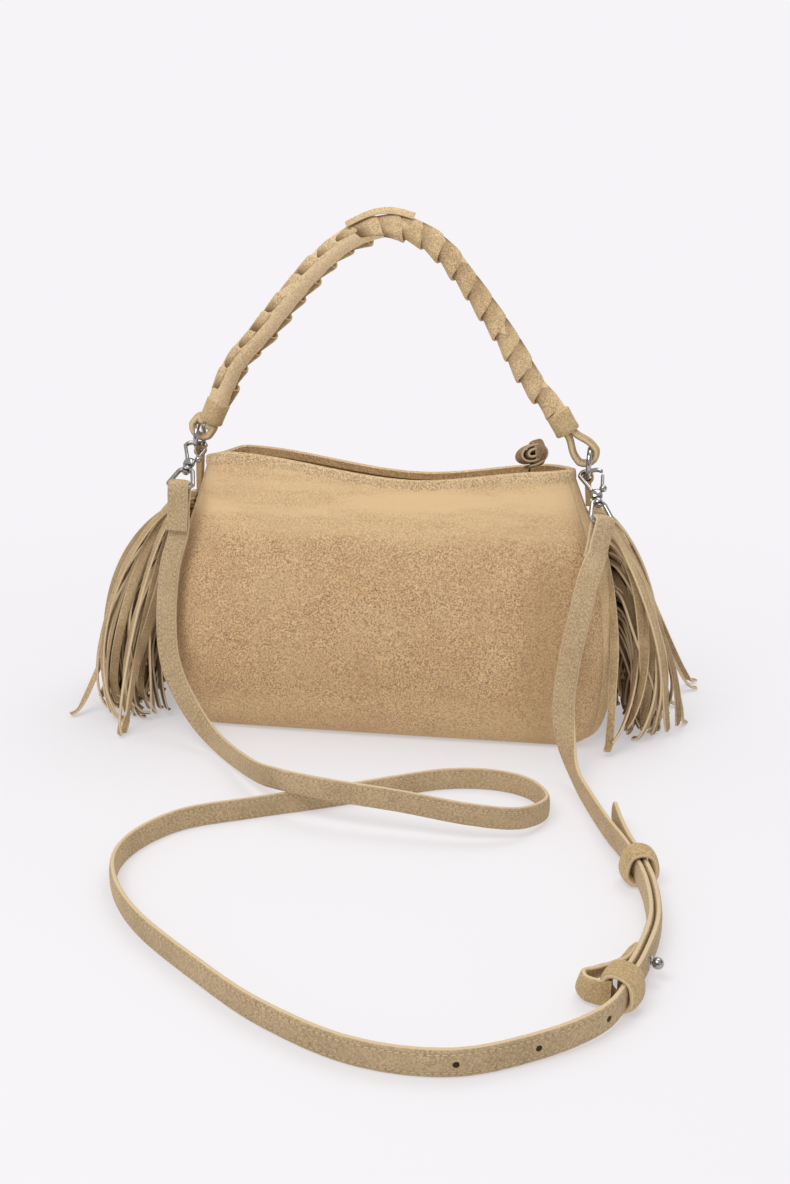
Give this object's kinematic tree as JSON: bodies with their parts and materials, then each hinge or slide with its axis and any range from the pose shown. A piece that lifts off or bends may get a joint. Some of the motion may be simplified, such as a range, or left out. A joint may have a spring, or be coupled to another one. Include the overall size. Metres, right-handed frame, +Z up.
{
  "type": "shoulder bag with fringe",
  "caption": "Small soft suede shoulder bag with laced handle, zip mouth, side fringes and a clip-on crossbody strap lying in front of it",
  "frame": {"origin": "middle of the flat base, on the floor", "axes": "+X along the bag towards the end with the zip's puller, +Y from the plain panel seen in the picture towards the back, +Z up"},
  "size_m": [0.4038, 0.4373, 0.317],
  "materials": {
    "body_suede": "suede nap",
    "gusset_suede": "suede nap",
    "binding_suede": "suede nap",
    "lining_cloth": "matte",
    "zip_tape": "matte",
    "zip_metal": "polished",
    "puller_suede": "suede nap",
    "polished_steel": "polished",
    "handle_suede": "suede nap",
    "strap_suede": "suede nap with pale cut edges",
    "fringe_suede": "suede nap with pale cut edges"
  },
  "bodies": {
    "bag": {"main_panel": "body_suede", "left_gusset": "gusset_suede", "right_gusset": "gusset_suede", "lining": "lining_cloth", "rim_binding": "binding_suede", "zip_facing": "binding_suede", "zip_tape_front": "zip_tape", "zip_tape_back": "zip_tape", "zip_teeth_front": "zip_metal", "zip_teeth_back": "zip_metal", "left_ring_tab": "gusset_suede", "right_ring_tab": "gusset_suede", "left_ring": "polished_steel", "right_ring": "polished_steel", "left_eye": "polished_steel", "right_eye": "polished_steel", "strap_long": "strap_suede", "strap_short": "strap_suede", "end_loop": "strap_suede", "strap_stud": "polished_steel", "left_fringe_front": "fringe_suede", "left_fringe_middle": "fringe_suede", "left_fringe_back": "fringe_suede", "right_fringe_front": "fringe_suede", "right_fringe_middle": "fringe_suede", "right_fringe_back": "fringe_suede"},
    "handle": {"handle_core": "handle_suede", "handle_lace": "handle_suede", "left_collar": "handle_suede", "right_collar": "handle_suede", "left_handle_loop": "handle_suede", "right_handle_loop": "handle_suede"},
    "slider": {"zip_slider": "zip_metal"},
    "puller": {"pull_thong": "puller_suede", "pull_knot": "puller_suede"},
    "left_hook": {"left_hook": "polished_steel"},
    "left_gate": {"left_gate": "polished_steel"},
    "right_hook": {"right_hook": "polished_steel"},
    "right_gate": {"right_gate": "polished_steel"},
    "strap_keeper": {"sliding_keeper": "strap_suede"}
  },
  "joints": [
    {"name": "handle_swing", "type": "hinge", "parent": "bag", "child": "handle", "pos_m": [-0.126, 0, 0.18], "axis": [0.9993, 0, -0.0366], "range_deg": [-55, 47]},
    {"name": "zip_slide", "type": "slide", "parent": "bag", "child": "slider", "axis": [1, 0, 0], "range_m": [-0.15, 0]},
    {"name": "puller_swing", "type": "hinge", "parent": "slider", "child": "puller", "pos_m": [0.084, 0, 0.1486], "axis": [0, 1, 0], "range_deg": [-70, 12]},
    {"name": "left_swivel", "type": "hinge", "parent": "bag", "child": "left_hook", "pos_m": [-0.126, 0, 0.18], "axis": [-0.0523, -0.8469, -0.5292], "range_deg": [-15, 15]},
    {"name": "left_gate_hinge", "type": "hinge", "parent": "left_hook", "child": "left_gate", "pos_m": [-0.1242, -0.01783, 0.16886], "axis": [0, 0.5299, -0.848], "range_deg": [-18, 0], "stiffness_Nm_per_rad": 0.02, "springref_deg": 5.73},
    {"name": "right_swivel", "type": "hinge", "parent": "bag", "child": "right_hook", "pos_m": [0.12, 0, 0.171], "axis": [0.225, -0.7464, -0.6263], "range_deg": [-12, 12]},
    {"name": "right_gate_hinge", "type": "hinge", "parent": "right_hook", "child": "right_gate", "pos_m": [0.12753, -0.0151, 0.15833], "axis": [0, 0.6428, -0.766], "range_deg": [-18, 0], "stiffness_Nm_per_rad": 0.02, "springref_deg": 5.73},
    {"name": "keeper_slide", "type": "slide", "parent": "bag", "child": "strap_keeper", "axis": [-0.2478, 0.9688, 0], "range_m": [-0.006, 0.006]}
  ]
}
